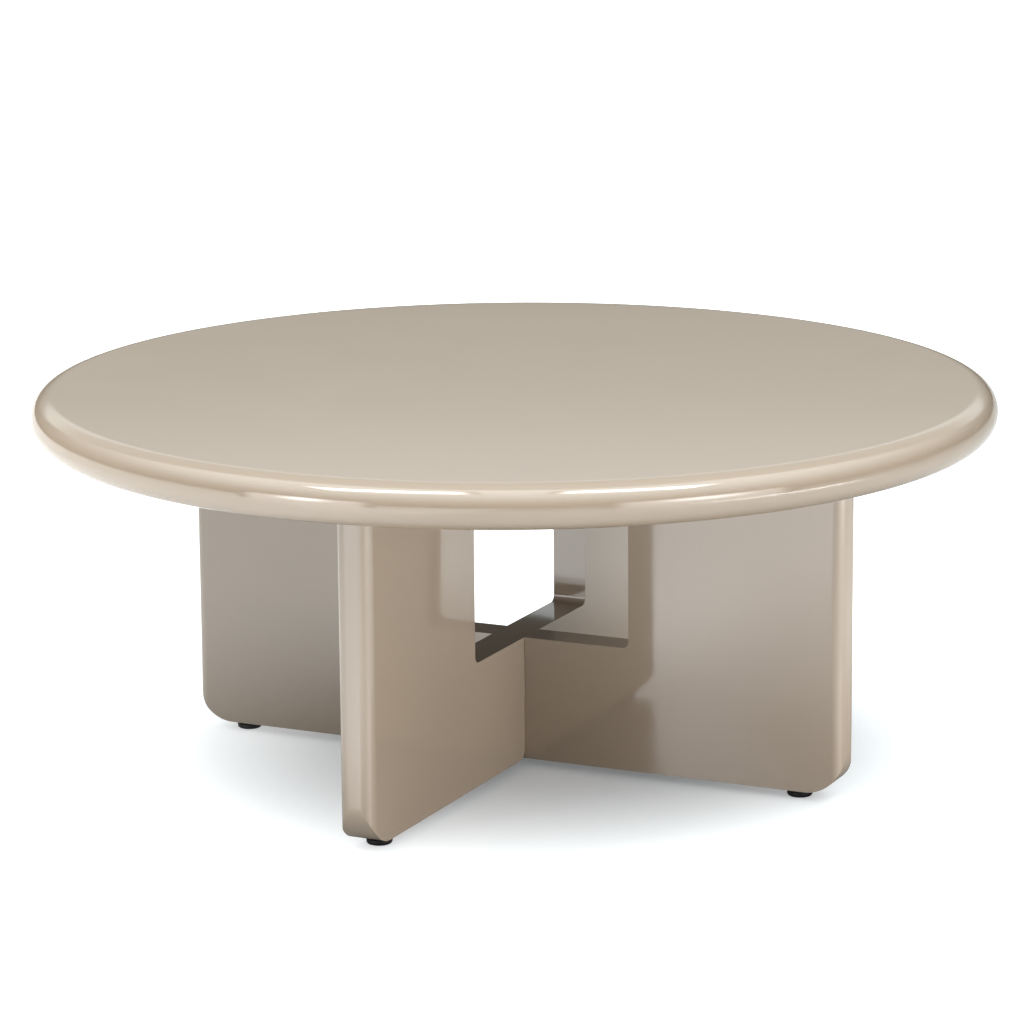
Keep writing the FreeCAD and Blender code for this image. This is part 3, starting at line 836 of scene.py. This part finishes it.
def dowelPatches():
    # radius = full - depth * (1 - |sin(flutes * turn / 2)|); half of it stands in the panel, half in the top
    look = dowelShape
    columns = look["flutes"] * look["stepsPerFlute"]
    turn = np.linspace(0, 2 * np.pi, columns, endpoint=False)
    fluted = look["radius"] - look["fluteDepth"] * (1 - np.abs(np.sin(look["flutes"] * turn / 2)))
    ends = np.full(columns, look["radius"] - look["chamfer"])
    radii = np.stack([0 * ends, ends, fluted, fluted, ends, 0 * ends])
    chamfer = look["chamfer"]
    low, high = topUnderside - look["length"] / 2, topUnderside + look["length"] / 2
    heights = [low, low, low + chamfer, high - chamfer, high, high]
    return [spun(radii, heights, panelHigh.x - look["inset"])]


for leg in legAngles:
    legName = leg.capitalize()
    pad, stem = f"pad_{leg}", f"stem_{leg}"
    makeHardware(f"pad{legName}", atLegs(padPatches(), leg), f"leveller_pad_{leg}", pad, "black_nylon")
    makeHardware(f"stem{legName}", atLegs(stemPatches(), leg), f"leveller_stem_{leg}", stem)
    makeHardware(f"legInsert{legName}", atLegs(legInsertPatches(), leg), f"leveller_insert_{leg}")
    bracket = makeHardware(f"bracket{legName}", atLegs(bracketPatches(), leg), f"top_bracket_{leg}")
    easeEdges(bracket, bracketShape["ease"], segments=2)
makeHardware("bracketScrews", atLegs(screwPatches(), *legAngles), "bracket_screws")
makeHardware("bracketBolts", atLegs(boltPatches(), *legAngles), "bracket_bolts")
makeHardware("bracketWashers", atLegs(washerPatches(), *legAngles), "bracket_washers")
makeHardware("topInserts", atLegs(topInsertPatches(), *legAngles), "top_inserts")
makeHardware("locatingDowels", atLegs(dowelPatches(), *legAngles), "locating_dowels", slot="beech")
print("hardware made")

# camera at the photograph's place
cameraPlace = {
    "position": (1.95733, -4.15966, 1.33759),
    "target": (-0.00084, -0.00039, 0.28469),
    "roll": -0.4425,
    "lens": 148.14,
    "sensor": 36.0,
}
cameraAim = Vector(cameraPlace["target"]) - Vector(cameraPlace["position"])


def makeCamera():
    # looks along the aim, then rolls about it
    look = cameraPlace
    data = bpy.data.cameras.new("camera")
    data.sensor_width = look["sensor"]
    data.lens = look["lens"]
    camera = bpy.data.objects.new("camera", data)
    scene.collection.objects.link(camera)
    aimed = cameraAim.to_track_quat("-Z", "Y").to_matrix().to_4x4()
    roll = Matrix.Rotation(math.radians(look["roll"]), 4, "Z")
    camera.matrix_world = Matrix.Translation(look["position"]) @ aimed @ roll
    scene.camera = camera


makeCamera()
print("camera set")


# studio: pale floor, a room that brightens from its horizon to overhead, soft boxes round the camera
def studioPoint(along, aside, height):
    # along runs away from the camera, aside to its right
    away = Vector((cameraAim.x, cameraAim.y, 0)).normalized()
    right = Vector((away.y, -away.x, 0))
    return away * along + right * aside + Vector((0, 0, height))


def makeSheet(name, corners):
    # one flat face between four corners, for the studio alone
    mesh = bpy.data.meshes.new(name)
    mesh.from_pydata([tuple(corner) for corner in corners], [], [(0, 1, 2, 3)])
    sheet = bpy.data.objects.new(name, mesh)
    scene.collection.objects.link(sheet)
    return sheet


floorLook = {
    "halfSide": 40.0,
    "colour": (0.80, 0.795, 0.785),
    "shade": (0.21, 0.207, 0.203),  # under the table, for bounced and mirrored light alone
    "shadeCentre": (0.05, 0.1, 0.0),
    "shadeReach": (0.2, 0.9),
    "seenColour": (0.74, 0.78, 0.82),
    "sheen": 0.2,
    "roughness": 0.2,
    "glow": (0.14, 1.0),  # for the camera alone: under the table, and away from it
    "glowCentre": (0.05, 0.06, 0.0),
    "glowReach": (0.1, 0.75),
    "poolTowards": (0.0, -1.0, 0.0),  # pool of light that gloss mirrors, on the camera's left
    "poolReach": (0.10, 0.52),
    "poolLevel": 0.6,
}


def makeFloor():
    # colour grows from shade to full with the distance, unless the camera sees it; light = the camera's glow,
    # which grows with the distance too, + the pool for mirrored rays
    look = floorLook
    side = look["halfSide"]
    floor = makeSheet("studioFloor", [(-side, -side, 0), (side, -side, 0), (side, side, 0), (-side, side, 0)])
    material, tree, shader = newMaterial("paleFloor")
    place = objectPlace(tree)
    path = tree.nodes.new("ShaderNodeLightPath")
    seen, mirrored = path.outputs["Is Camera Ray"], path.outputs["Is Glossy Ray"]
    unseen = mathNode(tree, "SUBTRACT", 1.0, seen)
    fromShade = measureNode(tree, "DISTANCE", place, studioPoint(*look["shadeCentre"]))
    lit = mapValue(tree, fromShade, 0.0, 1.0, *look["shadeReach"], smooth=True)
    unseenColour = mixColours(tree, lit, look["shade"], look["colour"])
    fromGlow = measureNode(tree, "DISTANCE", place, studioPoint(*look["glowCentre"]))
    glow = mapValue(tree, fromGlow, *look["glow"], *look["glowReach"], smooth=True)
    towards = measureNode(tree, "DOT_PRODUCT", place, studioPoint(*look["poolTowards"]))
    pool = mapValue(tree, towards, 0.0, look["poolLevel"], *look["poolReach"], smooth=True)
    seenGlow = mathNode(tree, "MULTIPLY", glow, seen)
    paper = {
        "Base Color": mixColours(tree, seen, unseenColour, look["seenColour"]),
        "Roughness": look["roughness"],
        "Specular IOR Level": mathNode(tree, "MULTIPLY", unseen, look["sheen"]),
        "Emission Color": (1, 1, 1),
        "Emission Strength": mathNode(tree, "MULTIPLY_ADD", pool, mirrored, seenGlow),
    }
    feed(tree, shader, paper)
    floor.data.materials.append(material)


roomLook = {
    "colour": (0.945, 1.0, 0.995),
    "level": 2.75,
    "power": 2.0,
    "sides": 0.6,
    "horizonLevel": 0.05,
    "backdropEdge": (0.05, 1.0),
    "backdropFade": (-0.05, 0.05),
    "backdropLevels": {0.19: 0.36, 0.28: 0.98, 0.46: 0.62},  # by the rise of the direction
}


def makeWorld():
    # room = horizon + level * rise^power * (1 + sides * aside^2); the backdrop takes over where
    # ahead * rise > over * rise^2 + beside * aside^2; the camera sees white
    look = roomLook
    world = bpy.data.worlds.new("studioWorld")
    scene.world = world
    world.use_nodes = True
    tree = world.node_tree
    tree.nodes.clear()
    direction = tree.nodes.new("ShaderNodeTexCoord").outputs["Generated"]
    axes = (studioPoint(1, 0, 0), studioPoint(0, 1, 0), studioPoint(0, 0, 1))
    ahead, aside, rise = (measureNode(tree, "DOT_PRODUCT", direction, axis) for axis in axes)
    asideSquare = mathNode(tree, "MULTIPLY", aside, aside)
    riseSquare = mathNode(tree, "MULTIPLY", rise, rise)
    lift = mathNode(tree, "POWER", mathNode(tree, "MAXIMUM", rise, 0.0), look["power"])
    sides = mathNode(tree, "MULTIPLY_ADD", asideSquare, look["sides"], 1.0)
    overhead = mathNode(tree, "MULTIPLY", lift, sides)
    room = mathNode(tree, "MULTIPLY_ADD", overhead, look["level"], look["horizonLevel"])
    over, beside = look["backdropEdge"]
    squares = mathNode(tree, "MULTIPLY", asideSquare, beside)
    squares = mathNode(tree, "MULTIPLY_ADD", riseSquare, over, squares)
    border = mathNode(tree, "SUBTRACT", mathNode(tree, "MULTIPLY", ahead, rise), squares)
    share = mapValue(tree, border, 0.0, 1.0, *look["backdropFade"], smooth=True)
    both = tree.nodes.new("ShaderNodeMix")
    feed(tree, both, {"Factor": share, "A": room, "B": rampNode(tree, rise, look["backdropLevels"])})
    light = tree.nodes.new("ShaderNodeBackground")
    feed(tree, light, {"Color": look["colour"], "Strength": both.outputs["Result"]})
    white = tree.nodes.new("ShaderNodeBackground")
    feed(tree, white, {"Color": (1, 1, 1), "Strength": 1.0})
    seen = tree.nodes.new("ShaderNodeLightPath").outputs["Is Camera Ray"]
    pick = tree.nodes.new("ShaderNodeMixShader")
    feed(tree, pick, {"Fac": seen, 1: light.outputs[0], 2: white.outputs[0]})
    feed(tree, tree.nodes.new("ShaderNodeOutputWorld"), {"Surface": pick.outputs[0]})


# soft boxes: centre as (along, aside, height), size, level of the cloth, the share of the half size over
# which it dims to its edge, the level, half size and rise of its bright core, and what a fill lights
softBoxPlain = {"colour": (1, 1, 1), "core": 0.0, "coreSize": (1.0, 1.0), "coreRise": 0.0, "mirrored": True}
softBoxes = {
    "topBoxLeft": {"centre": (-1.02, -0.90, 2.43), "size": (1.36, 0.64), "level": 8.0, "fade": 0.25},
    "topBoxRight": {"centre": (-1.02, 0.86, 2.43), "size": (1.28, 0.66), "level": 8.0, "fade": 0.25},
    "lowBoxLeft": {
        "centre": (-1.67, -1.58, 0.30), "size": (1.25, 1.2), "level": 2.4, "fade": 0.3,
        "colour": (1.0, 0.98, 0.98), "core": 6.0, "coreSize": (0.34, 0.36), "coreRise": 0.30,
    },
    "lowBoxRight": {
        "centre": (-1.79, 1.45, 0.30), "size": (1.75, 1.3), "level": 2.1, "fade": 0.3,
        "colour": (1.0, 0.98, 0.98), "core": 4.5, "coreSize": (0.6, 0.36), "coreRise": 0.32,
    },
    "fillBoxBack": {
        "centre": (2.0, -0.8, 0.25), "size": (2.4, 0.5), "level": 5.0, "fade": 0.2, "mirrored": False,
        "lights": ("leftRightPanel", "frontBackPanel"),
    },
    "fillBoxRight": {
        "centre": (-1.1, 1.75, 0.09), "size": (1.6, 0.18), "level": 24.0, "fade": 0.2, "mirrored": False,
        "lights": ("leftRightPanel", "frontBackPanel", "studioFloor"),
    },
    "fillBoxLeft": {
        "centre": (0.65, -1.8, 0.30), "size": (1.2, 0.6), "level": 11.0, "fade": 0.2, "mirrored": False,
        "lights": ("roundTop",),
    },
}


def clothMaterial(name, look, centre, sides, downwards):
    # light = level * fade(across) * fade(lift) + core * fade(distance from the core's centre); sides are
    # (axis, half size, core's shift, core's half size)
    material = bpy.data.materials.new(name)
    material.use_nodes = True
    tree = material.node_tree
    tree.nodes.clear()
    place = objectPlace(tree)
    strength, square = look["level"], 0.0
    for axis, half, shift, coreHalf in sides:
        along = mathNode(tree, "SUBTRACT", measureNode(tree, "DOT_PRODUCT", place, axis), centre.dot(axis))
        off = mathNode(tree, "ABSOLUTE", along)
        edge = mapValue(tree, off, 1.0, 0.0, half * (1 - look["fade"]), half, smooth=True)
        strength = mathNode(tree, "MULTIPLY", edge, strength)
        share = mathNode(tree, "DIVIDE", mathNode(tree, "SUBTRACT", along, shift), coreHalf)
        square = mathNode(tree, "MULTIPLY_ADD", share, share, square)
    core = mapValue(tree, mathNode(tree, "SQRT", square), look["core"], 0.0, 0.0, 1.0, smooth=True)
    strength = mathNode(tree, "ADD", strength, core)
    if downwards:
        lowerSide = tree.nodes.new("ShaderNodeNewGeometry").outputs["Backfacing"]
        strength = mathNode(tree, "MULTIPLY", strength, lowerSide)
    cloth = tree.nodes.new("ShaderNodeEmission")
    feed(tree, cloth, {"Color": look["colour"], "Strength": strength})
    feed(tree, tree.nodes.new("ShaderNodeOutputMaterial"), {"Surface": cloth.outputs[0]})
    return material


def makeSoftBox(name):
    # a lit rectangle, flat overhead or upright and facing the table, that the camera doesn't see
    look = {**softBoxPlain, **softBoxes[name]}
    centre = studioPoint(*look["centre"])
    overhead = name.startswith("top")
    across, lift = studioPoint(0, 1, 0), studioPoint(1, 0, 0)
    if not overhead:
        facing = Vector((-centre.x, -centre.y, 0)).normalized()
        across, lift = Vector((-facing.y, facing.x, 0)), Vector((0, 0, 1))
    halfWidth, halfHeight = (side / 2 for side in look["size"])
    corners = ((-1, -1), (1, -1), (1, 1), (-1, 1))
    box = makeSheet(name, [centre + across * halfWidth * u + lift * halfHeight * v for u, v in corners])
    box.visible_camera = False
    box.visible_glossy = box.visible_shadow = look["mirrored"]
    if "lights" in look:  # flagged off from the rest
        lit = bpy.data.collections.new(name + "Lights")
        for piece in look["lights"]:
            lit.objects.link(bpy.data.objects[piece])
        box.light_linking.receiver_collection = lit
    coreWidth, coreHeight = look["coreSize"]
    sides = ((across, halfWidth, 0.0, coreWidth), (lift, halfHeight, look["coreRise"], coreHeight))
    box.data.materials.append(clothMaterial(name, look, centre, sides, downwards=overhead))


darkCardLook = {
    "along": 1.6,
    "halfWidth": 0.32,
    "height": 0.62,
    "colour": (0.02, 0.018, 0.016),
    "roughness": 0.9,
}


def makeDarkCard():
    # a low card behind the table, seen only in its gloss, as in the notch floors
    look = darkCardLook
    half, height = look["halfWidth"], look["height"]
    corners = ((-half, 0), (half, 0), (half, height), (-half, height))
    card = makeSheet("darkCard", [studioPoint(look["along"], *corner) for corner in corners])
    card.visible_camera = card.visible_diffuse = card.visible_shadow = False
    material, tree, shader = newMaterial("darkCard")
    feed(tree, shader, {"Base Color": look["colour"], "Roughness": look["roughness"]})
    card.data.materials.append(material)


makeFloor()
makeWorld()
for boxName in softBoxes:
    makeSoftBox(boxName)
makeDarkCard()
print("studio made")
